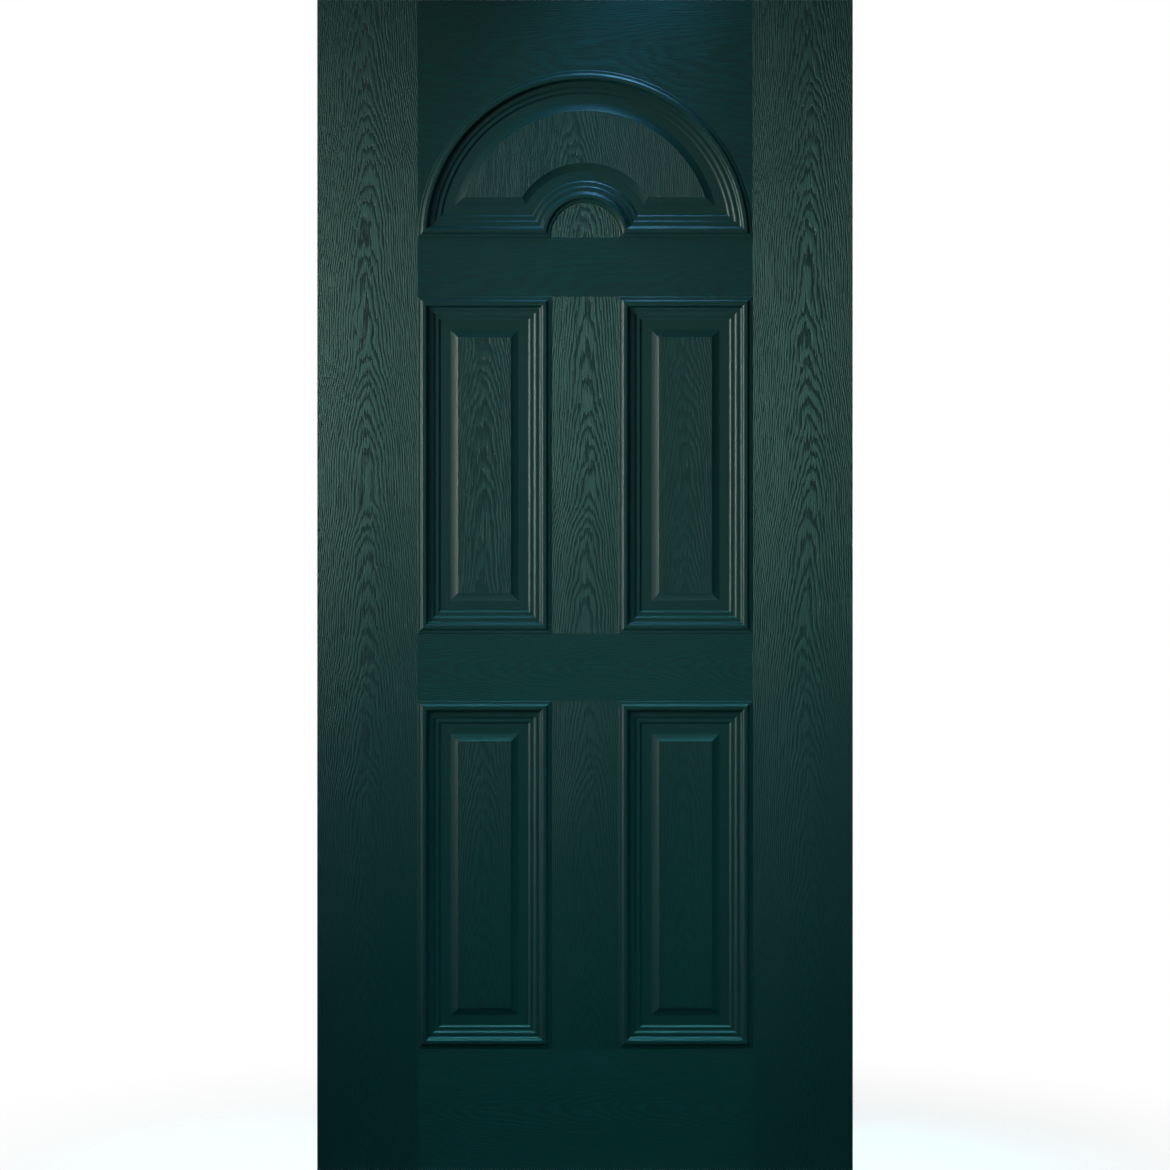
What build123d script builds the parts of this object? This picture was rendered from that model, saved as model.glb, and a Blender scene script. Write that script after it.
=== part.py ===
from build123d import *
import os

# Moulded front door leaf: two woodgrain sheets of glass-reinforced plastic on a timber frame,
# filled with rigid foam, with four raised panels and an arched one above them.
# Origin at the bottom centre of the leaf, at the middle of its thickness.
# X runs across the leaf, to the right as seen from outside. Z is up. The outside faces -Y.

# Leaf, in millimetres
leaf_width = 915
leaf_height = 2000
leaf_thickness = 44
skin_thickness = 2.5
edge_band_thickness = 2
edge_band_corner_radius = 1

# Pattern of the panels, from the bottom of the leaf upwards
bottom_margin = 208
lower_panel_height = 594
lock_rail_height = 115
frieze_rail_height = 101
top_margin = 120.5
muntin_width = 115
panel_width = 228.5
small_arc_radius = 59

# Moulding round each panel, from its outline inwards
riser_width = 1.2
riser_height = 2
ledge_width = 2.4
ledge_rise = 0.2
bead_width = 7.4
bead_height = 4.4
ogee_width = 16.5
shelf_depth = 3
shelf_width = 5
step_width = 4
recess_depth = 6.2
recess_width = 19.5
cove_width = 13
field_depth = 2

# Frame inside the leaf
stile_timber_width = 60
top_rail_timber_height = 60
bottom_rail_timber_height = 100
lock_block_width = 70
lock_block_height = 400
lock_block_centre_height = 1000
groove_width = 12
groove_depth = 8

# Corrugated steel fasteners across the joints of the frame
fastener_length = 30
fastener_depth = 11
fastener_sheet = 0.8
fastener_wave_height = 3
fastener_waves = 3

# Places that follow from the sizes above
skin_width = leaf_width - 2 * edge_band_thickness
frame_thickness = leaf_thickness - 2 * skin_thickness
lower_panel_bottom = bottom_margin
upper_panel_bottom = lower_panel_bottom + lower_panel_height + lock_rail_height
arch_radius = muntin_width / 2 + panel_width
arch_bottom = leaf_height - top_margin - arch_radius
upper_panel_height = arch_bottom - frieze_rail_height - upper_panel_bottom
panel_centre = (muntin_width + panel_width) / 2
joint_place = skin_width / 2 - stile_timber_width

# Points of the moulding's section, with X inwards from the panel's outline and Y out of the face
ledge_start = Vector(riser_width, riser_height)
ledge_end = ledge_start + Vector(ledge_width, ledge_rise)
crest = Vector(ledge_end.X + bead_width, bead_height)
shelf_start = Vector(crest.X + ogee_width, -shelf_depth)
shelf_end = shelf_start + Vector(shelf_width, 0)
step_foot = Vector(shelf_end.X + step_width, -recess_depth)
cove_foot = step_foot + Vector(recess_width, 0)
field_edge = Vector(cove_foot.X + cove_width, -field_depth)

# The bead is an arc that is level at its crest
bead_rise = crest.Y - ledge_end.Y
bead_radius = (bead_width**2 + bead_rise**2) / (2 * bead_rise)

# How far a section is drawn past what is kept of it: inwards, outwards and behind the face
reach = leaf_width + leaf_height
lead_in = 2 * skin_thickness
section_depth = leaf_thickness / 2 - lead_in

outward = Vector(0, 0, 1)
rightward = Vector(1, 0)
upward = Vector(0, 1)
front_face = Plane(origin=(0, -leaf_thickness / 2, 0), x_dir=(1, 0, 0), z_dir=(0, -1, 0))
frame_face = front_face.offset(-skin_thickness)
from_bottom = (Align.CENTER, Align.CENTER, Align.MIN)


# Sections of the moulding. The back of the sheet follows the curves of its face in straight flanks,
# which turn in each hollow, so that the sheet is nowhere thin.

def section_under(surface, depth):
    """What lies under a surface, with a level stretch added before its start and after its end."""
    start = surface[0] @ 0
    end = surface[-1] @ 1
    before = start - Vector(lead_in, 0)
    after = Vector(reach, end.Y)
    entry = Polyline((before.X, -depth), before, start)
    rest = Polyline(end, after, (after.X, -depth), (before.X, -depth))
    return make_face([*entry.edges(), *surface, *rest.edges()])


def under_rim(back):
    """What lies under the proud rim: the riser, its ledge and the bead up to its crest."""
    if back:
        return section_under(Polyline((0, 0), ledge_start, crest).edges(), section_depth)
    steps = Polyline((0, 0), ledge_start, ledge_end)
    bead = RadiusArc(ledge_end, crest, bead_radius)
    return section_under([*steps.edges(), bead], section_depth)


def under_fall(back):
    """What lies under the fall from the bead's crest: an ogee, a shelf and a bevelled step."""
    ogee_middle = (crest + shelf_start) / 2
    ogee_top = TangentArc(crest, ogee_middle, tangent=rightward)
    ogee_foot = RadiusArc(ogee_middle, shelf_start, -ogee_top.radius)
    if back:
        flanks = Polyline(crest, ogee_foot @ 0.5, shelf_end, step_foot)
        return section_under(flanks.edges(), leaf_thickness)
    step = Polyline(shelf_start, shelf_end, step_foot)
    return section_under([ogee_top, ogee_foot, *step.edges()], leaf_thickness)


def under_field(back):
    """What lies under the raised field: a cove that climbs from the recess to a crisp edge."""
    cove = TangentArc(cove_foot, field_edge, tangent=rightward)
    if back:
        return section_under(Polyline(cove_foot, cove @ 0.5, field_edge).edges(), section_depth)
    return section_under([cove], section_depth)


def moved_in(section, distance):
    """The section with its surface moved behind the face by an even distance."""
    if distance == 0:
        return section
    return offset(section, amount=-distance, kind=Kind.INTERSECTION)


def open_over(section, start):
    """What is open over the section, from the start inwards."""
    space = Pos(start, 0) * Rectangle(reach / 2, 2 * section_depth, align=(Align.MIN, Align.CENTER))
    return space - section


# Edges of a panel. Each carries a section along itself, and the runs of all the edges of a panel
# are crossed with each other, so that every corner mitres, also where a straight edge meets an arc.

def straight_edge(point, inward):
    """A straight edge through the point, with the panel on the inward side."""
    along = inward.cross(outward)
    across = Plane(origin=point - along * reach, x_dir=inward, z_dir=along)
    return lambda section: extrude(across * section, amount=2 * reach)


def arc_edge(radius, panel_inside):
    """An edge round a circle about the origin, with the panel inside or outside it."""
    right_half = Rectangle(2 * reach, 2 * reach, align=(Align.MIN, Align.CENTER))

    def run(section):
        facing = mirror(section, about=Plane.YZ) if panel_inside else section
        return revolve(Plane.XZ * (Pos(radius, 0) * facing & right_half), axis=Axis.Z)

    return run


def rectangle_edges(width, height):
    """The edges of a rectangular panel, whose origin is the middle of its lower edge."""
    return [
        straight_edge(rightward * (-width / 2), rightward),
        straight_edge(rightward * (width / 2), -rightward),
        straight_edge(Vector(), upward),
        straight_edge(upward * height, -upward),
    ]


def arch_edges(radius, inner_radius):
    """The edges of a half-round panel with a small half round left out of its base."""
    return [
        straight_edge(Vector(), upward),
        arc_edge(radius, panel_inside=True),
        arc_edge(inner_radius, panel_inside=False),
    ]


def crossed(edges, section):
    """The section carried round a whole panel."""
    first, *others = [edge(section) for edge in edges]
    for other in others:
        first = first & other
    return first


# Halves of the leaf, drawn with the face up at Z 0 and the door's height along Y

def moulded_half(inset):
    """The leaf from its middle out to the moulded face, or to a surface that far inside it."""
    back = inset > 0
    sections = [
        moved_in(under_rim(back), inset),
        open_over(moved_in(under_fall(back), inset), crest.X - inset),
        moved_in(under_field(back), inset),
    ]
    pairs = (-panel_centre, panel_centre)
    panels = [
        (rectangle_edges(panel_width, lower_panel_height), lower_panel_bottom, pairs),
        (rectangle_edges(panel_width, upper_panel_height), upper_panel_bottom, pairs),
        (arch_edges(arch_radius, small_arc_radius), arch_bottom, (0,)),
    ]
    rims, recesses, fields = [], [], []
    for edges, bottom, places in panels:
        rim, recess, field = [crossed(edges, section) for section in sections]
        for place in places:
            rims.append(Pos(place, bottom) * rim)
            recesses.append(Pos(place, bottom) * recess)
            fields.append(Pos(place, bottom) * field)
    depth = leaf_thickness / 2
    block = Box(skin_width, leaf_height, depth - inset, align=(Align.CENTER, Align.MIN, Align.MIN))
    return Pos(0, 0, -depth) * block + rims - recesses + fields


def turned_round(shape):
    """The same shape on the other face of the leaf."""
    return shape.rotate(Axis.Z, 180)


# Frame inside the leaf

def timber(width, height):
    """A length of timber that fills the thickness between the skins, standing on the origin."""
    return Box(width, frame_thickness, height, align=from_bottom)


def stile(side):
    """An upright of the frame, grooved down its inner edge. The side is -1 or 1 along X."""
    upright = timber(stile_timber_width, leaf_height)
    groove = Box(groove_depth, groove_width, leaf_height, align=from_bottom)
    middle = joint_place + stile_timber_width / 2
    groove_middle = joint_place + groove_depth / 2
    return Pos(side * middle, 0, 0) * upright - Pos(side * groove_middle, 0, 0) * groove


def rail(bottom, height):
    """A rail between the stiles, with a tongue in the groove of each."""
    tongue = Box(2 * (joint_place + groove_depth), groove_width, height, align=from_bottom)
    return Pos(0, 0, bottom) * (timber(2 * joint_place, height) + tongue)


def lock_block():
    """Extra timber beside the lock stile, with a tongue in its groove."""
    body = Pos(joint_place - lock_block_width / 2, 0, 0) * timber(lock_block_width, lock_block_height)
    tongue = Box(groove_depth, groove_width, lock_block_height, align=from_bottom)
    bottom = lock_block_centre_height - lock_block_height / 2
    return Pos(0, 0, bottom) * (body + Pos(joint_place + groove_depth / 2, 0, 0) * tongue)


def corrugated_fastener():
    """A zigzag strip across a joint, driven in from the front face of the frame."""
    turns = 2 * fastener_waves
    spacing = fastener_length / turns
    points = []
    for turn in range(turns + 1):
        side = 1 if turn % 2 else -1
        points.append((turn * spacing - fastener_length / 2, side * fastener_wave_height / 2))
    strip = trace(Polyline(*points), line_width=fastener_sheet)
    return extrude(frame_face * strip, amount=-fastener_depth)


def corner_fasteners():
    """One fastener in each face at each corner of the frame."""
    fastener = corrugated_fastener()
    fasteners = []
    for side in (-1, 1):
        for height in (bottom_rail_timber_height / 2, leaf_height - top_rail_timber_height / 2):
            in_front = Pos(side * joint_place, 0, height) * fastener
            fasteners += [in_front, turned_round(in_front)]
    return fasteners


def edge_band(side):
    """A strip over the long edge of the leaf, with its two outer corners eased."""
    strip = Box(edge_band_thickness, leaf_thickness, leaf_height, align=from_bottom)
    outer_corners = strip.edges().filter_by(Axis.Z).sort_by(Axis.X)[::side][-2:]
    eased = fillet(outer_corners, radius=edge_band_corner_radius)
    return Pos(side * (leaf_width - edge_band_thickness) / 2, 0, 0) * eased


def build():
    """Every piece of the leaf, by name."""
    inner_half = front_face * moulded_half(skin_thickness)
    front_skin = front_face * moulded_half(0) - inner_half
    frame = {
        "hinge_stile": stile(-1),
        "lock_stile": stile(1),
        "bottom_rail": rail(0, bottom_rail_timber_height),
        "top_rail": rail(leaf_height - top_rail_timber_height, top_rail_timber_height),
        "lock_block": lock_block(),
    }
    foam_core = inner_half + turned_round(inner_half) - list(frame.values())
    fasteners = corner_fasteners()
    slotted_frame = {name: piece - fasteners for name, piece in frame.items()}
    return {
        "front_skin": front_skin,
        "back_skin": turned_round(front_skin),
        **slotted_frame,
        "foam_core": foam_core,
        "corner_fasteners": Compound(fasteners),
        "hinge_edge_band": edge_band(-1),
        "lock_edge_band": edge_band(1),
    }


os.makedirs("parts", exist_ok=True)
for name, piece in build().items():
    export_step(piece, f"parts/{name}.step")
    print(f"{name}: {piece.volume / 1e6:.4f} litres, {len(piece.solids())} solids")
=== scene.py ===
import math

import bpy
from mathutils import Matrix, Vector, geometry, kdtree


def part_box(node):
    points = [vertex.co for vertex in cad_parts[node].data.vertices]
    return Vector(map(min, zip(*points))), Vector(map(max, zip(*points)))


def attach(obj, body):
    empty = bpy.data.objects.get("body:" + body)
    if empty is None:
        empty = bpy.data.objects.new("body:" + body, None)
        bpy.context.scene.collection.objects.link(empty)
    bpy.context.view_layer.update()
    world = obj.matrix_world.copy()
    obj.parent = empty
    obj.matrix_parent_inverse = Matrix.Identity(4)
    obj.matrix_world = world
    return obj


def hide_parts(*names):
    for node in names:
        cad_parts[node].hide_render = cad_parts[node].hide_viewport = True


# Looks of a moulded front door leaf: painted woodgrain skins over a timber and foam core.
# Lengths are in metres. X runs across the leaf, Z up it, and the outside faces -Y.

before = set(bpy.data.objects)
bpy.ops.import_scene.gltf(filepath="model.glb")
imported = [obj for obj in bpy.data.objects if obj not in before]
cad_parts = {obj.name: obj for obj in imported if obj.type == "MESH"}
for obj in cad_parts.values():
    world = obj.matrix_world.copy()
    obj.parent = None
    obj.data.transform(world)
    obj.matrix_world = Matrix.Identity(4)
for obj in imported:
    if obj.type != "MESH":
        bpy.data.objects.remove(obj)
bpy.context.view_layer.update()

mm = 0.001

# Leaf: its sizes from the frame, and the thickness of its skins
leaf_low, leaf_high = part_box("hinge_edge_band")
skin_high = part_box("front_skin")[1]
leaf_height = leaf_high.z - leaf_low.z
half_thickness = leaf_high.y
half_skin_width = skin_high.x
skin_thickness = 2.5 * mm

# Pattern of the panels
bottom_margin = 208 * mm
lower_panel_height = 594 * mm
lock_rail_height = 115 * mm
frieze_rail_height = 101 * mm
top_margin = 120.5 * mm
muntin_width = 115 * mm
panel_width = 228.5 * mm
small_arc_radius = 59 * mm

# Places that follow from the pattern
half_muntin = muntin_width / 2
arch_radius = half_muntin + panel_width
arch_bottom = leaf_height - top_margin - arch_radius
arch_centre = Vector((0, arch_bottom))
lower_panel_top = bottom_margin + lower_panel_height
upper_panel_bottom = lower_panel_top + lock_rail_height
upper_panel_top = arch_bottom - frieze_rail_height
stile_edge = arch_radius
panel_centre = (muntin_width + panel_width) / 2
stile_centre = (stile_edge + half_skin_width) / 2

# Points of the moulding's section: inwards from the panel's outline, and out of the face
foot = Vector((0, 0))
ledge_start = Vector((1, 1)) * mm
ledge_end = Vector((4, 1.3)) * mm
crest = Vector((10, 4.4)) * mm
fall_start = Vector((13, 4.4)) * mm
first_valley = Vector((21.5, -2.4)) * mm
second_crest = Vector((25, -2.2)) * mm
second_valley = Vector((32, -4.3)) * mm
third_crest = Vector((35, -4.2)) * mm
recess_start = Vector((40.5, -6.2)) * mm
cove_foot = Vector((56, -6.2)) * mm
field_edge = Vector((69, -2)) * mm
riser_easing = 1 * mm
field_easing = 1.2 * mm
cove_turn = math.radians(12)

# Points of the sheet's hidden face, before it is moved behind the visible one
back_ledge = Vector((1.2, 2)) * mm
back_crest = Vector((11, 4.4)) * mm
back_shelf_start = Vector((27.5, -3)) * mm
back_shelf_end = Vector((32.5, -3)) * mm
back_step_foot = Vector((36.5, -6.2)) * mm
ogee_sag = 0.6 * mm
cove_sag = 0.9 * mm

# How finely curves are drawn, and how near to each other two points are one
big_arc_steps = 192
small_arc_steps = 80
bead_steps = 6
fall_steps = 8
climb_steps = 3
cove_steps = 12
easing_steps = 4
point_digits = 7
cut_tolerance = 0.0001
weld_distance = 0.002 * mm

# How far a board's heart lies from the board's middle, or from its usual height
right_stile_shift = 12 * mm
right_stile_rise = 300 * mm
frieze_shift = -40 * mm
lower_muntin_shift = 8 * mm
arch_shift = -20 * mm

# How far the growth rings arch: not at all, a part of the way, and fully
no_arching = 0
frieze_arching = 0.5
top_rail_arching = 0.6
full_arching = 1

# Share of the layout's width that the visible faces take
visible_share = 0.96

# Depth of the woodgrain, as a share of its full depth
full_depth = 1
rail_depth = 0.38
muntin_depth = 0.85
half_round_depth = 0.8
arch_depth = 0.55
lower_left_depth = 0.7
lower_right_depth = 0.45
upper_left_depth = 0.5
upper_right_depth = 0.4
moulding_depth = 0.08
grain_height = 0.4 * mm

# How often the parts of the woodgrain come in a metre: across it, along it, and from board to board
drift_waves = (1, 2.5, 5.1)
swell_waves = (1, 3.4, 9.7)
ripple_waves = (38, 11, 7.3)
jag_waves = (140, 40, 7.3)
fibre_waves = (420, 13, 7.3)
pore_waves = (1100, 60, 7.3)

# Growth rings: how many come in a metre, and how many the waves move them by
rings_across = 340
rings_along = 26
plain_rings = 290
swell_rings = 7
ripple_rings = 2.2
jag_rings = 0.7
fibre_rings = 1.4

# The heart of a board: how wide it wanders, and how bluntly the rings turn at it
heart_drift = 30 * mm
heart_roundness = 0.002

# Shares of a ring over which its coarse early wood sets in, and over which it ends, counted backwards
early_start = (0, 0.18)
early_end = (0.9, 0.45)

# Relief of the grain: how strong the fibres are in late and in early wood, and how far the rest stands up
late_fibres = 0.45
early_fibres = 1.1
early_rise = 0.45
pore_rise = 0.25

# Ranges in which the noise makes its difference
noise_range = (0.3, 0.7)
pore_range = (0.35, 0.62)
timber_range = (0.3, 0.72)
streak_range = (0.2, 0.8)
filler_range = (0.35, 0.65)
foam_range = (0.3, 0.65)

# Paint in the hollows of its grain and on its ridges
paint_low = (0.0016, 0.0147, 0.0136)
paint_high = (0.002, 0.0177, 0.0163)
between_fibres = 0.4

# Sheen of the paint where it is level and where it is grained: its tint, its spread and how far it is
# drawn out across the grain. The tint and the drawing out are full before the grain is.
paint_gloss = 0.22
sheen_level = (0.62, 0.64, 0.62)
sheen_grained = (0.5, 1, 0.88)
paint_roughness = (0.41, 0.54)
drawn_out = (0.1, 0.9)
full_tint_grain = 0.5
full_drawing_grain = 0.6

# Laminated timber
veneer_thickness = 3 * mm
timber_light = (0.55, 0.37, 0.21)
timber_dark = (0.40, 0.25, 0.13)
glue_brown = (0.13, 0.07, 0.04)
glue_range = (0.14, 0.05)
upright_timber_waves = (160, 300, 4)
level_timber_waves = (4, 300, 160)
timber_roughness = (0.72, 0.55)
veneer_relief = 0.15 * mm

# Filled plastic
filler_dark = (0.30, 0.28, 0.245)
filler_light = (0.40, 0.38, 0.33)
mottle_waves = (60, 60, 60)
grit_waves = (900, 900, 900)
saw_waves = (700, 30, 30)
mottle_share = 0.6
plastic_roughness = (0.6, 0.75)
saw_relief = 0.12 * mm

# Foam
foam_light = (0.82, 0.72, 0.45)
foam_dark = (0.74, 0.62, 0.36)
foam_roughness = 0.85
cloud_waves = (14, 14, 14)
cloud_share = 0.7
cells_per_metre = 900
cell_relief = 0.3 * mm

# Steel
steel_dark = (0.46, 0.46, 0.48)
steel_light = (0.56, 0.56, 0.575)
steel_waves = (150, 1500, 1500)
steel_roughness = (0.28, 0.42)

# Edge bands
emboss_waves = (500, 500, 9)
band_roughness = (0.34, 0.46)
emboss_relief = 0.15 * mm

# Camera, at the photograph's square frame, which cuts a sliver off the leaf's foot and head
lens = 100
sensor = 36
cut_off = 0.8 * mm

# Room and backdrop, which starts and is full at these shares of a straight look beyond the leaf
white = (1, 1, 1, 1)
room_colour = (0.4, 0.8, 1, 1)
room_light = 0.04
backdrop_range = (0.55, 0.75)

# Floor: its colours, how much it glows to the camera, where it fades, and how much sooner in front
floor_radius = 3
floor_sides = 96
floor_dark = (0.1, 0.1, 0.1)
floor_pale = (0.9, 0.9, 0.9)
floor_roughness = 0.9
floor_glow = 0.8
floor_fade = (0.5, 1.5)
floor_front_haste = 3


def add_camera():
    """A level camera, straight in front of the leaf."""
    data = bpy.data.cameras.new("camera")
    data.lens = lens
    data.sensor_width = sensor
    camera = bpy.data.objects.new("camera", data)
    bpy.context.scene.collection.objects.link(camera)
    distance = (leaf_height - 2 * cut_off) * lens / sensor
    camera.location = (0, -half_thickness - distance, leaf_height / 2)
    camera.rotation_euler = (math.radians(90), 0, 0)
    bpy.context.scene.camera = camera


# Section of the moulding. A stretch is a list of points, each with the normal of the surface there.

def straight(start, end):
    """A straight stretch."""
    along = (end - start).normalized()
    normal = Vector((-along.y, along.x))
    return [(start, normal), (end, normal)]


def arc(start, end, centre, steps):
    """An arc from start to end about a centre, the short way round."""
    first = start - centre
    last = end - centre
    turn = math.atan2(first.x * last.y - first.y * last.x, first.dot(last))
    out = 1 if turn < 0 else -1
    stretch = []
    for step in range(steps + 1):
        angle = turn * step / steps
        spoke = Vector((
            first.x * math.cos(angle) - first.y * math.sin(angle),
            first.x * math.sin(angle) + first.y * math.cos(angle),
        ))
        stretch.append((centre + spoke, out * spoke.normalized()))
    return stretch


def level_arc_centre(level_end, other_end):
    """The centre of the arc that is level at one end and passes through the other."""
    chord = other_end - level_end
    return level_end + Vector((0, chord.length_squared / (2 * chord.y)))


def turning_arc_centre(start, end, turn):
    """The centre of the arc that turns so far upwards from start to end."""
    chord = end - start
    reach = chord.length / (2 * math.tan(turn / 2))
    return (start + end) / 2 + Vector((-chord.y, chord.x)).normalized() * reach


def sweep(start, end, steps):
    """Two arcs that carry the surface from one level place to another."""
    halfway = (start + end) / 2
    return [
        arc(start, halfway, level_arc_centre(start, halfway), steps),
        arc(halfway, end, level_arc_centre(end, halfway), steps),
    ]


def easing(corner, before, after, radius):
    """A small arc in place of a corner, from the two directions that meet there."""
    turn = before.angle(after)
    cut = radius * math.tan(turn / 2)
    start = corner - before * cut
    centre = start + Vector((before.y, -before.x)) * radius
    return arc(start, corner + after * cut, centre, easing_steps)


def moulding():
    """The stretches of the moulded face, from the panel's outline in to its field."""
    rise = (ledge_start - foot).normalized()
    ledge = (ledge_end - ledge_start).normalized()
    riser_arc = easing(ledge_start, rise, ledge, riser_easing)
    cove_centre = turning_arc_centre(cove_foot, field_edge, cove_turn)
    cove_end = field_edge - cove_centre
    climb = Vector((-cove_end.y, cove_end.x)).normalized()
    field_arc = easing(field_edge, climb, Vector((1, 0)), field_easing)
    return [
        straight(foot, riser_arc[0][0]),
        riser_arc,
        straight(riser_arc[-1][0], ledge_end),
        *sweep(ledge_end, crest, bead_steps),
        straight(crest, fall_start),
        *sweep(fall_start, first_valley, fall_steps),
        *sweep(first_valley, second_crest, climb_steps),
        *sweep(second_crest, second_valley, fall_steps),
        *sweep(second_valley, third_crest, climb_steps),
        *sweep(third_crest, recess_start, fall_steps),
        straight(recess_start, cove_foot),
        arc(cove_foot, field_arc[0][0], cove_centre, cove_steps),
        field_arc,
    ]


def moved_in(points, distance):
    """A line of points moved behind the face by an even distance, with straight flanks."""
    moved = []
    for before, here, after in zip([points[0]] + points, points, points[1:] + [points[-1]]):
        normals = []
        for start, end in ((before, here), (here, after)):
            along = end - start
            if along.length > 0:
                normals.append(Vector((-along.y, along.x)).normalized())
        middle = (normals[0] + normals[-1]).normalized()
        moved.append(here - middle * (distance / middle.dot(normals[0])))
    return moved


def back_of_moulding():
    """The stretches of the sheet's hidden face, which follows the moulding in straight flanks."""
    lead = Vector((2 * skin_thickness, 0))
    ogee_middle = (back_crest + back_shelf_start) / 2
    ogee_low = (ogee_middle + back_shelf_start) / 2 - Vector((0, ogee_sag))
    cove_low = (cove_foot + field_edge) / 2 - Vector((0, cove_sag))
    line = [
        foot - lead, foot, back_ledge, back_crest, ogee_low, back_shelf_end, back_step_foot,
        cove_foot, cove_low, field_edge, field_edge + lead,
    ]
    points = moved_in(line, skin_thickness)[1:-1]
    return [straight(start, end) for start, end in zip(points, points[1:])]


# Outlines of the panels. An edge gives, for each distance inwards from the outline, the same number
# of places along itself, each with its inward direction and how far along the edge it is.

def straight_edge(first_corner, last_corner, inward):
    """An edge between two corners, each given as a function of the distance inwards."""
    along = Vector((-inward.y, inward.x))

    def places(distance):
        ends = [first_corner(distance), last_corner(distance)]
        return [(end, inward, end.dot(along)) for end in ends]

    return places


def arc_edge(centre, radius, inside, steps):
    """An edge round the upper half of a circle, with the panel inside or outside it."""
    side = 1 if inside else -1

    def places(distance):
        reach = radius - side * distance
        low = math.asin(distance / reach)
        made = []
        for step in range(steps + 1):
            angle = low + (math.pi - 2 * low) * step / steps
            spoke = Vector((math.cos(angle), math.sin(angle)))
            made.append((centre + spoke * reach, -side * spoke, radius * angle))
        return made

    return places


def rectangle_edges(centre, bottom, top):
    """The four edges of a panel, from its lower left corner round."""
    half = panel_width / 2

    def corner(side_x, side_z):
        at = Vector((centre + side_x * half, top if side_z > 0 else bottom))
        return lambda distance: at - Vector((side_x, side_z)) * distance

    low_left = corner(-1, -1)
    low_right = corner(1, -1)
    high_right = corner(1, 1)
    high_left = corner(-1, 1)
    return [
        straight_edge(low_left, low_right, Vector((0, 1))),
        straight_edge(low_right, high_right, Vector((-1, 0))),
        straight_edge(high_right, high_left, Vector((0, -1))),
        straight_edge(high_left, low_left, Vector((1, 0))),
    ]


def arch_edges():
    """The edges of the half-round panel with a small half round left out of its base."""

    def corner(side, radius, grows):
        def at(distance):
            reach = radius + grows * distance
            return arch_centre + Vector((side * math.sqrt(reach * reach - distance * distance), distance))
        return at

    def small_arc(distance):
        return arc_edge(arch_centre, small_arc_radius, False, small_arc_steps)(distance)[::-1]

    up = Vector((0, 1))
    return [
        straight_edge(corner(1, small_arc_radius, 1), corner(1, arch_radius, -1), up),
        arc_edge(arch_centre, arch_radius, True, big_arc_steps),
        straight_edge(corner(-1, arch_radius, -1), corner(-1, small_arc_radius, 1), up),
        small_arc,
    ]


def outline(edges, distance):
    """The closed line of places round a panel, at a distance inwards from its outline."""
    line = []
    for edge in edges:
        line += [place for place, inward, along in edge(distance)][:-1]
    return line


def holds(line, point):
    """Whether a closed line holds a point."""
    inside = False
    for start, end in zip(line, line[1:] + line[:1]):
        if (start.y > point.y) != (end.y > point.y):
            if point.x < start.x + (end.x - start.x) * (point.y - start.y) / (end.y - start.y):
                inside = not inside
    return inside


# Boards. Each has its own figure: how far the growth rings arch, and how deep the grain is.

class Board:
    """Where a stretch of grain lies: its middle, its direction, and its own place in the noise."""

    def __init__(self, seed, centre, upright, figure, depth):
        self.seed = seed
        self.centre = centre
        self.upright = upright
        self.figure = figure
        self.depth = depth
        self.across = Vector((1, 0)) if upright else Vector((0, 1))

    def grain(self, place):
        """How far across the grain and along it a place is, with the board's own number."""
        x = place.x - self.centre.x
        z = place.y - self.centre.y
        return (x, z, self.seed) if self.upright else (z, -x, self.seed)


def upright_board(seed, x, z, depth):
    """A board on end, with arching rings about its heart."""
    return Board(seed, Vector((x, z)), True, full_arching, depth)


def level_board(seed, z, figure):
    """A board that lies across the leaf."""
    return Board(seed, Vector((0, z)), False, figure, rail_depth)


left_stile = upright_board(0, -stile_centre, 0, full_depth)
right_stile = upright_board(1, stile_centre + right_stile_shift, right_stile_rise, full_depth)
top_rail = level_board(2, leaf_height - top_margin / 2, top_rail_arching)
frieze_rail = level_board(3, arch_bottom + frieze_shift, frieze_arching)
lock_rail = level_board(4, (lower_panel_top + upper_panel_bottom) / 2, full_arching)
bottom_rail = level_board(5, bottom_margin / 2, full_arching)
upper_muntin = upright_board(6, 0, upper_panel_top, muntin_depth)
lower_muntin = upright_board(7, lower_muntin_shift, bottom_margin, full_depth)
half_round = upright_board(8, 0, arch_bottom, half_round_depth)
arch_field = upright_board(9, arch_shift, arch_bottom, arch_depth)

# Numbers in the noise: of the first panel's field and moulding, and how many numbers a moulding has
first_field_seed = 20
first_moulding_seed = 30
seeds_per_moulding = 5


def board_at(place):
    """The board that a place on the level face belongs to."""
    if place.x < -stile_edge:
        return left_stile
    if place.x > stile_edge:
        return right_stile
    if place.y > arch_bottom:
        return half_round if (place - arch_centre).length < arch_radius / 2 else top_rail
    if place.y > upper_panel_top:
        return frieze_rail
    if place.y > upper_panel_bottom:
        return upper_muntin
    if place.y > lower_panel_top:
        return lock_rail
    if place.y > bottom_margin:
        return lower_muntin
    return bottom_rail


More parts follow.
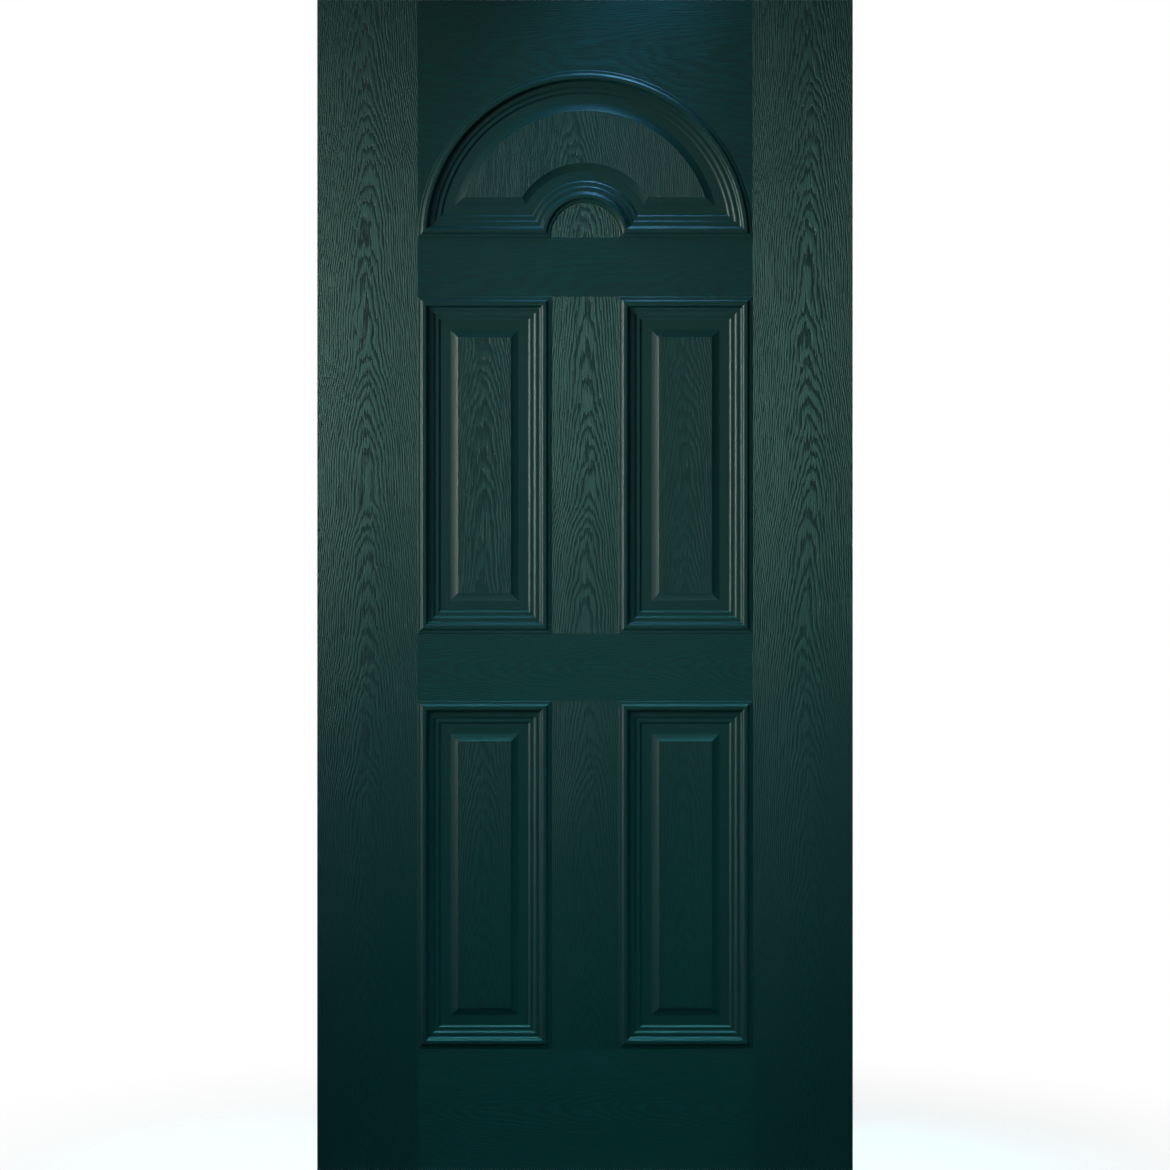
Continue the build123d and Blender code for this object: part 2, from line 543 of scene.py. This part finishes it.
class Sheet:
    """A mesh of a moulded sheet, with its normals, grain and layout, face by face."""

    def __init__(self):
        self.points = []
        self.index = {}
        self.faces = []
        self.normals = []
        self.grains = []
        self.acrosses = []
        self.places = []
        self.figures = []
        self.depths = []

    def point(self, place, height):
        """The number of the point at a place of the face, so far out of it."""
        key = tuple(round(value, point_digits) for value in (place.x, place.y, height))
        if key not in self.index:
            self.index[key] = len(self.points)
            self.points.append((key[0], -half_thickness - key[2], key[1]))
        return self.index[key]

    def face(self, corners, normals, grains, acrosses, board, hidden=False):
        """One face. A corner is a place and a height. A normal is across, up and out of the face."""
        numbers = [self.point(place, height) for place, height in corners]
        if len(set(numbers)) < len(numbers):
            return
        self.faces.append(numbers)
        for (place, height), (right, up, out), grain, across in zip(corners, normals, grains, acrosses):
            self.normals.append((right, -out, up))
            self.grains.append(grain)
            self.acrosses.append((across.x, 0, across.y))
            u = (place.x + half_skin_width) / (2 * half_skin_width)
            u = visible_share + (1 - visible_share) * u if hidden else u * visible_share
            self.places.append((u, place.y / leaf_height))
        self.figures.append(board.figure)
        self.depths.append(board.depth)

    def flat(self, lines, height, boards, hidden=False, cuts=()):
        """The level stretch inside the first closed line and outside the others, with cuts in it."""
        points = []
        edges = []
        for line in lines:
            first = len(points)
            points += line
            edges += [(first + i, first + (i + 1) % len(line)) for i in range(len(line))]
        for start, end in cuts:
            edges.append((len(points), len(points) + 1))
            points += [start, end]
        scale = 1 / mm
        scaled = [point * scale for point in points]
        made, _, triangles, *_ = geometry.delaunay_2d_cdt(scaled, edges, [], 0, cut_tolerance)
        out = -1 if hidden else 1
        for triangle in triangles:
            corners = [made[number] / scale for number in triangle]
            centre = sum(corners, Vector((0, 0))) / 3
            if not holds(lines[0], centre) or any(holds(line, centre) for line in lines[1:]):
                continue
            board = boards(centre)
            if hidden:
                corners.reverse()
            grains = [board.grain(corner) for corner in corners]
            places = [(corner, height) for corner in corners]
            self.face(places, [(0, 0, out)] * 3, grains, [board.across] * 3, board, hidden)

    def run(self, edges, stretches, seed, hidden=False):
        """A moulding carried round a panel."""
        across = 0
        side = -1 if hidden else 1
        for stretch in stretches:
            for (start, start_normal), (end, end_normal) in zip(stretch, stretch[1:]):
                reach = across + (end - start).length
                for number, edge in enumerate(edges):
                    board = Board(seed + number, Vector((0, 0)), True, no_arching, moulding_depth)
                    near = edge(start.x)
                    far = edge(end.x)
                    for i in range(len(near) - 1):
                        self.strip([
                            (near[i], start.y, start_normal, across),
                            (near[i + 1], start.y, start_normal, across),
                            (far[i + 1], end.y, end_normal, reach),
                            (far[i], end.y, end_normal, reach),
                        ], board, side)
                across = reach

    def strip(self, corners, board, side):
        """One face of a moulding. A corner is a place, its height, its normal and how far across it is."""
        hidden = side < 0
        places = []
        normals = []
        grains = []
        acrosses = []
        for (place, inward, along), height, normal, across in corners:
            lean = inward * normal.x * side
            places.append((place, height))
            normals.append((lean.x, lean.y, normal.y * side))
            grains.append((across, along, board.seed))
            acrosses.append(inward)
        if hidden:
            for values in (places, normals, grains, acrosses):
                values.reverse()
        self.face(places, normals, grains, acrosses, board, hidden)

    def border(self, line, low, high):
        """The cut edge of the sheet round its outside."""
        for start, end in zip(line, line[1:] + line[:1]):
            along = (end - start).normalized()
            normal = (along.y, -along.x, 0)
            corners = [(start, low), (end, low), (end, high), (start, high)]
            grains = [bottom_rail.grain(place) for place, height in corners]
            self.face(corners, [normal] * 4, grains, [bottom_rail.across] * 4, bottom_rail, True)

    def weld(self):
        """Make one point of points that only rounding has set apart."""
        tree = kdtree.KDTree(len(self.points))
        for number, point in enumerate(self.points):
            tree.insert(point, number)
        tree.balance()
        kept = {}
        numbers = []
        for point in self.points:
            first = min(number for _, number, _ in tree.find_range(point, weld_distance))
            numbers.append(kept.setdefault(first, len(kept)))
        self.points = [self.points[first] for first in kept]
        self.faces = [[numbers[corner] for corner in face] for face in self.faces]

    def build(self, name, turned):
        """The mesh as an object, on the front of the leaf or turned round to its back."""
        side = -1 if turned else 1
        mesh = bpy.data.meshes.new(name)
        mesh.from_pydata([(side * x, side * y, z) for x, y, z in self.points], [], self.faces)
        layout = mesh.uv_layers.new(name="OFBake")
        layout.data.foreach_set("uv", [value for place in self.places for value in place])
        acrosses = [(side * x, 0, z) for x, _, z in self.acrosses]
        for label, values in (("grain", self.grains), ("across", acrosses)):
            attribute = mesh.attributes.new(label, "FLOAT_VECTOR", "CORNER")
            attribute.data.foreach_set("vector", [number for value in values for number in value])
        for label, values in (("figure", self.figures), ("depth", self.depths)):
            mesh.attributes.new(label, "FLOAT", "FACE").data.foreach_set("value", values)
        for polygon in mesh.polygons:
            polygon.use_smooth = True
        mesh.normals_split_custom_set([(side * x, side * y, z) for x, y, z in self.normals])
        mesh.validate()
        made = bpy.data.objects.new(name, mesh)
        bpy.context.scene.collection.objects.link(made)
        return made


def panels_with_boards():
    """Each panel's edges, with the board that its field is cut from."""
    rectangles = (
        (-1, bottom_margin, lower_panel_top, lower_left_depth),
        (1, bottom_margin, lower_panel_top, lower_right_depth),
        (-1, upper_panel_bottom, upper_panel_top, upper_left_depth),
        (1, upper_panel_bottom, upper_panel_top, upper_right_depth),
    )
    panels = []
    for number, (side, bottom, top, depth) in enumerate(rectangles):
        centre = side * panel_centre
        board = upright_board(first_field_seed + number, centre, bottom, depth)
        panels.append((rectangle_edges(centre, bottom, top), board))
    panels.append((arch_edges(), arch_field))
    return panels


def board_cuts():
    """The lines where one board of the level face meets the next."""
    cuts = []
    for side in (-1, 1):
        cuts.append((Vector((side * stile_edge, 0)), Vector((side * stile_edge, leaf_height))))
    for z in (bottom_margin, lower_panel_top, upper_panel_bottom, upper_panel_top):
        cuts.append((Vector((-half_muntin, z)), Vector((half_muntin, z))))
    cuts.append((Vector((-small_arc_radius, arch_bottom)), Vector((small_arc_radius, arch_bottom))))
    return cuts


def moulded_sheet():
    """The whole moulded skin: its face, its panels, its hidden side and its cut edge."""
    sheet = Sheet()
    front = moulding()
    back = back_of_moulding()
    panels = panels_with_boards()
    for number, (edges, board) in enumerate(panels):
        seed = first_moulding_seed + seeds_per_moulding * number
        sheet.run(edges, front, seed)
        sheet.run(edges, back, seed, hidden=True)
        for stretches, hidden in ((front, False), (back, True)):
            end = stretches[-1][-1][0]
            sheet.flat([outline(edges, end.x)], end.y, lambda place, board=board: board, hidden)
    across = (-half_skin_width, -stile_edge, stile_edge, half_skin_width)
    border = [Vector((x, 0)) for x in across] + [Vector((x, leaf_height)) for x in across[::-1]]
    front_lines = [outline(edges, 0) for edges, board in panels]
    sheet.flat([border] + front_lines, 0, board_at, cuts=board_cuts())
    start = back[0][0][0]
    back_lines = [outline(edges, start.x) for edges, board in panels]
    sheet.flat([border] + back_lines, start.y, board_at, hidden=True)
    sheet.border(border, start.y, 0)
    sheet.weld()
    return sheet


# Shader nodes

def feed(tree, made, inputs):
    """Set or link a node's inputs."""
    for name, value in inputs.items():
        if isinstance(value, bpy.types.NodeSocket):
            tree.links.new(value, made.inputs[name])
        else:
            made.inputs[name].default_value = value


def node(tree, kind, inputs=None, **settings):
    """A shader node with its settings, and its inputs set or linked."""
    made = tree.nodes.new(kind)
    for name, value in settings.items():
        setattr(made, name, value)
    feed(tree, made, inputs or {})
    return made


def maths(tree, operation, *values):
    """One sum on values or sockets."""
    return node(tree, "ShaderNodeMath", dict(enumerate(values)), operation=operation).outputs[0]


def total(tree, first, *others):
    """The sum of several sockets."""
    for other in others:
        first = maths(tree, "ADD", first, other)
    return first


def share(tree, value, factor):
    """A socket times a factor."""
    return maths(tree, "MULTIPLY", value, factor)


def noise(tree, place, waves, detail=2, roughness=0.5):
    """Noise from 0 to 1, with so many waves in a metre along each axis of a place."""
    stretched = node(tree, "ShaderNodeVectorMath", {0: place, 1: waves}, operation="MULTIPLY").outputs[0]
    inputs = {"Vector": stretched, "Scale": 1, "Detail": detail, "Roughness": roughness}
    return node(tree, "ShaderNodeTexNoise", inputs).outputs["Fac"]


def ramp(tree, value, low, high, start=0, end=1, smooth=True):
    """A value carried from one range to another, and held at its ends."""
    inputs = {"Value": value, "From Min": low, "From Max": high, "To Min": start, "To Max": end}
    kind = "SMOOTHSTEP" if smooth else "LINEAR"
    return node(tree, "ShaderNodeMapRange", inputs, interpolation_type=kind).outputs[0]


def blend(tree, factor, first, second):
    """Two colours mixed by a factor. A colour is three numbers or a socket."""
    inputs = {0: factor}
    for number, colour in ((6, first), (7, second)):
        inputs[number] = colour if isinstance(colour, bpy.types.NodeSocket) else (*colour, 1)
    return node(tree, "ShaderNodeMix", inputs, data_type="RGBA").outputs[2]


def bump(tree, height, depth):
    """The normal of a surface with relief, so deep where the height goes from 0 to 1."""
    return node(tree, "ShaderNodeBump", {"Height": height, "Strength": 1, "Distance": depth}).outputs[0]


def attribute(tree, name, output):
    """A value that the mesh carries."""
    return node(tree, "ShaderNodeAttribute", attribute_name=name).outputs[output]


def object_place(tree):
    """The place on the object."""
    return node(tree, "ShaderNodeTexCoord").outputs["Object"]


def axes(tree, place):
    """The three numbers of a place."""
    return node(tree, "ShaderNodeSeparateXYZ", {0: place}).outputs


def empty_material(name):
    """A material and its empty tree."""
    made = bpy.data.materials.new(name)
    made.use_nodes = True
    made.node_tree.nodes.clear()
    return made, made.node_tree


def new_material(name):
    """A material with its tree and its shader."""
    made, tree = empty_material(name)
    shader = node(tree, "ShaderNodeBsdfPrincipled")
    node(tree, "ShaderNodeOutputMaterial", {0: shader.outputs[0]})
    return made, tree, shader


# Materials

def growth_rings(tree, place, fibres):
    """How many growth rings lie between the heart of the board and a place."""
    figure = attribute(tree, "figure", "Fac")
    across, along, seed = axes(tree, place)
    along_only = node(tree, "ShaderNodeCombineXYZ", {1: along, 2: seed}).outputs[0]
    drift = noise(tree, along_only, drift_waves, detail=1)
    swell = noise(tree, along_only, swell_waves, roughness=0.55)
    ripple = noise(tree, place, ripple_waves)
    jag = noise(tree, place, jag_waves)
    centred = total(tree, across, maths(tree, "MULTIPLY_ADD", drift, heart_drift, -heart_drift / 2))
    squared = maths(tree, "MULTIPLY_ADD", centred, centred, heart_roundness)
    spread = share(tree, maths(tree, "SQRT", squared), rings_across)
    climb = maths(tree, "MULTIPLY_ADD", along, rings_along, share(tree, swell, swell_rings))
    arched = share(tree, total(tree, spread, climb), figure)
    plain = share(tree, share(tree, across, plain_rings), maths(tree, "SUBTRACT", 1, figure))
    moved = [share(tree, ripple, ripple_rings), share(tree, jag, jag_rings), share(tree, fibres, fibre_rings)]
    return total(tree, arched, plain, *moved)


def painted_skin():
    """Satin paint over a moulded woodgrain."""
    made, tree, shader = new_material("painted_skin")
    place = attribute(tree, "grain", "Vector")
    depth = attribute(tree, "depth", "Fac")
    fibres = noise(tree, place, fibre_waves, detail=3, roughness=0.6)
    pores = ramp(tree, noise(tree, place, pore_waves, detail=1), *pore_range)
    turn = maths(tree, "FRACT", growth_rings(tree, place, fibres))
    early = share(tree, ramp(tree, turn, *early_start), ramp(tree, turn, *early_end))
    coarse = share(tree, fibres, ramp(tree, early, 0, 1, late_fibres, early_fibres))
    height = total(tree, coarse, share(tree, early, early_rise), share(tree, pores, pore_rise))
    tone = share(tree, ramp(tree, fibres, *noise_range, between_fibres, 1), early)
    raised = share(tree, tone, depth)
    feed(tree, shader, {
        "Base Color": blend(tree, tone, paint_low, paint_high),
        "Roughness": ramp(tree, raised, 0, 1, *paint_roughness, smooth=False),
        "Anisotropic": ramp(tree, raised, 0, full_drawing_grain, *drawn_out),
        "Tangent": attribute(tree, "across", "Vector"),
        "Specular IOR Level": paint_gloss,
        "Specular Tint": blend(tree, ramp(tree, raised, 0, full_tint_grain), sheen_level, sheen_grained),
        "Normal": bump(tree, share(tree, height, depth), grain_height),
    })
    return made


def laminated_timber(name, waves):
    """Timber glued up from veneers that lie flat with the faces, with its grain as the waves have it."""
    made, tree, shader = new_material(name)
    x, y, z = axes(tree, object_place(tree))
    layer = maths(tree, "DIVIDE", y, veneer_thickness)
    level = share(tree, maths(tree, "FLOOR", layer), veneer_thickness)
    place = node(tree, "ShaderNodeCombineXYZ", {0: x, 1: level, 2: z}).outputs[0]
    streaks = noise(tree, place, waves, detail=5, roughness=0.6)
    wood = blend(tree, ramp(tree, streaks, *timber_range), timber_light, timber_dark)
    glue = ramp(tree, maths(tree, "PINGPONG", layer, 0.5), *glue_range)
    feed(tree, shader, {
        "Base Color": blend(tree, glue, wood, glue_brown),
        "Roughness": ramp(tree, streaks, *streak_range, *timber_roughness),
        "Normal": bump(tree, maths(tree, "SUBTRACT", streaks, glue), veneer_relief),
    })
    return made


def filled_plastic():
    """Rot-proof plastic with ground filler in it, and the marks of its saw cuts."""
    made, tree, shader = new_material("rot_proof_rail")
    place = object_place(tree)
    mottle = noise(tree, place, mottle_waves, detail=4, roughness=0.6)
    grit = noise(tree, place, grit_waves, detail=1)
    cuts = noise(tree, place, saw_waves)
    tone = total(tree, share(tree, mottle, mottle_share), share(tree, grit, 1 - mottle_share))
    feed(tree, shader, {
        "Base Color": blend(tree, ramp(tree, tone, *filler_range), filler_dark, filler_light),
        "Roughness": ramp(tree, grit, *noise_range, *plastic_roughness),
        "Normal": bump(tree, total(tree, grit, cuts), saw_relief),
    })
    return made


def rigid_foam():
    """Rigid foam, with its closed cells."""
    made, tree, shader = new_material("rigid_foam")
    place = object_place(tree)
    bubbles = node(tree, "ShaderNodeTexVoronoi", {"Vector": place, "Scale": cells_per_metre})
    cells = bubbles.outputs["Distance"]
    clouds = noise(tree, place, cloud_waves, detail=3)
    tone = total(tree, share(tree, clouds, cloud_share), share(tree, cells, 1 - cloud_share))
    feed(tree, shader, {
        "Base Color": blend(tree, ramp(tree, tone, *foam_range), foam_light, foam_dark),
        "Roughness": foam_roughness,
        "Normal": bump(tree, cells, cell_relief),
    })
    return made


def fastener_steel():
    """Bright rolled steel strip, brushed along its length."""
    made, tree, shader = new_material("fastener_steel")
    brushing = noise(tree, object_place(tree), steel_waves, detail=3, roughness=0.7)
    feed(tree, shader, {
        "Base Color": blend(tree, ramp(tree, brushing, *noise_range), steel_dark, steel_light),
        "Metallic": 1,
        "Roughness": ramp(tree, brushing, *noise_range, *steel_roughness),
    })
    return made


def edge_band():
    """Satin plastic strip in the colour of the paint, with a faint lengthwise emboss."""
    made, tree, shader = new_material("edge_band")
    emboss = noise(tree, object_place(tree), emboss_waves, detail=3, roughness=0.6)
    feed(tree, shader, {
        "Base Color": blend(tree, ramp(tree, emboss, *noise_range), paint_low, paint_high),
        "Roughness": ramp(tree, emboss, *noise_range, *band_roughness),
        "Specular IOR Level": paint_gloss,
        "Normal": bump(tree, emboss, emboss_relief),
    })
    return made


# Studio

def add_lamp(name, place, aim, size, power, colour, spread=180):
    """A soft lamp that the camera doesn't see."""
    data = bpy.data.lights.new(name, "AREA")
    data.shape = "RECTANGLE"
    data.size, data.size_y = size
    data.energy = power
    data.color = colour
    data.spread = math.radians(spread)
    lamp = bpy.data.objects.new(name, data)
    lamp.location = place
    lamp.rotation_euler = (Vector(aim) - Vector(place)).to_track_quat("-Z", "Y").to_euler()
    lamp.visible_camera = False
    bpy.context.scene.collection.objects.link(lamp)


def add_lamp_pair(name, place, aim, **settings):
    """A lamp before the leaf, and its twin behind, turned half round about the leaf's middle."""
    add_lamp(name + "_before", place, aim, **settings)
    turned = Vector((-1, -1, 1))
    add_lamp(name + "_behind", Vector(place) * turned, Vector(aim) * turned, **settings)


def add_lamps():
    """Light from the left and the front, cool light from above and a little from below, and a left rim."""
    add_lamp_pair(
        "key", place=(-4.9, -3.4, 1.75), aim=(1.4, 0, 1.38),
        size=(3, 1.1), power=36, colour=(1, 1, 0.94), spread=26,
    )
    add_lamp_pair(
        "front_strip", place=(0, -4, 1.9), aim=(0, 0, 1.5),
        size=(2.4, 1.2), power=13, colour=(0.86, 1, 0.9),
    )
    add_lamp_pair(
        "low_fill", place=(0, -1.8, 0.1), aim=(0, 0, 1.25),
        size=(0.8, 0.4), power=0.6, colour=(0.5, 0.95, 1), spread=26,
    )
    add_lamp_pair(
        "low_sky", place=(0, -1.5, 3), aim=(0, 0, 0.15),
        size=(1.2, 0.2), power=5, colour=(0.18, 0.82, 0.96), spread=22,
    )
    add_lamp_pair(
        "top_sky", place=(0.2, -0.13, 2.4), aim=(0.1, 0, 1.85),
        size=(0.5, 0.08), power=1.4, colour=(0.2, 0.56, 1), spread=40,
    )
    add_lamp(
        "left_rim", place=(-1.85, 0.9, 1.5), aim=(-0.4, 0, 1.3),
        size=(0.5, 1.2), power=32, colour=(1, 1, 1),
    )


def add_world():
    """A white backdrop beyond the leaf, in a dark room. The camera sees white all round."""
    world = bpy.data.worlds.new("studio")
    bpy.context.scene.world = world
    world.use_nodes = True
    tree = world.node_tree
    tree.nodes.clear()
    path = node(tree, "ShaderNodeLightPath").outputs
    direction = node(tree, "ShaderNodeTexCoord").outputs["Generated"]
    backdrop = ramp(tree, axes(tree, direction)[1], *backdrop_range)
    mirrored = maths(tree, "MAXIMUM", path["Is Glossy Ray"], path["Is Transmission Ray"])
    seen = maths(tree, "MAXIMUM", path["Is Camera Ray"], share(tree, mirrored, backdrop))
    room = node(tree, "ShaderNodeBackground", {"Color": room_colour, "Strength": room_light})
    light = node(tree, "ShaderNodeBackground", {"Color": white, "Strength": 1})
    mixed = node(tree, "ShaderNodeMixShader", {0: seen, 1: room.outputs[0], 2: light.outputs[0]})
    node(tree, "ShaderNodeOutputWorld", {0: mixed.outputs[0]})


def floor_material():
    """White to the camera and dark to all else. It fades with distance, sooner in front of the leaf."""
    made, tree = empty_material("floor")
    to_camera = node(tree, "ShaderNodeLightPath").outputs["Is Camera Ray"]
    shader = node(tree, "ShaderNodeBsdfPrincipled", {
        "Base Color": blend(tree, to_camera, floor_dark, floor_pale),
        "Roughness": floor_roughness,
        "Specular IOR Level": 0,
    })
    x, y, _ = axes(tree, object_place(tree))
    ahead = share(tree, maths(tree, "MINIMUM", y, 0), floor_front_haste)
    behind = maths(tree, "MAXIMUM", y, 0)
    place = node(tree, "ShaderNodeCombineXYZ", {0: x, 1: total(tree, ahead, behind)}).outputs[0]
    far = node(tree, "ShaderNodeVectorMath", {0: place}, operation="LENGTH").outputs["Value"]
    glow = node(tree, "ShaderNodeEmission", {"Color": white, "Strength": 1})
    clear = node(tree, "ShaderNodeBsdfTransparent")
    seen = share(tree, to_camera, floor_glow)
    lit = node(tree, "ShaderNodeMixShader", {0: seen, 1: shader.outputs[0], 2: glow.outputs[0]})
    gone = ramp(tree, far, *floor_fade)
    fade = node(tree, "ShaderNodeMixShader", {0: gone, 1: lit.outputs[0], 2: clear.outputs[0]})
    node(tree, "ShaderNodeOutputMaterial", {0: fade.outputs[0]})
    return made


def add_floor():
    """A floor that shows the leaf's shadow."""
    angles = [2 * math.pi * side / floor_sides for side in range(floor_sides)]
    points = [(floor_radius * math.cos(angle), floor_radius * math.sin(angle), 0) for angle in angles]
    mesh = bpy.data.meshes.new("floor")
    mesh.from_pydata(points, [], [list(range(floor_sides))])
    floor = bpy.data.objects.new("floor", mesh)
    bpy.context.scene.collection.objects.link(floor)
    mesh.materials.append(floor_material())


add_camera()

sheet = moulded_sheet()
paint = painted_skin()
for cad_name, turned in (("front_skin", False), ("back_skin", True)):
    skin = sheet.build(cad_name + "_sheet", turned)
    skin.data.materials.append(paint)
    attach(skin, "root")
    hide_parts(cad_name)

upright_timber = laminated_timber("laminated_timber", upright_timber_waves)
level_timber = laminated_timber("laminated_timber_across", level_timber_waves)
band = edge_band()
finishes = {
    "hinge_stile": upright_timber,
    "lock_stile": upright_timber,
    "lock_block": upright_timber,
    "top_rail": level_timber,
    "bottom_rail": filled_plastic(),
    "foam_core": rigid_foam(),
    "corner_fasteners": fastener_steel(),
    "hinge_edge_band": band,
    "lock_edge_band": band,
}
for name, finish in finishes.items():
    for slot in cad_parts[name].material_slots:
        slot.material = finish

add_world()
add_floor()
add_lamps()

bpy.context.scene.view_settings.view_transform = "Standard"
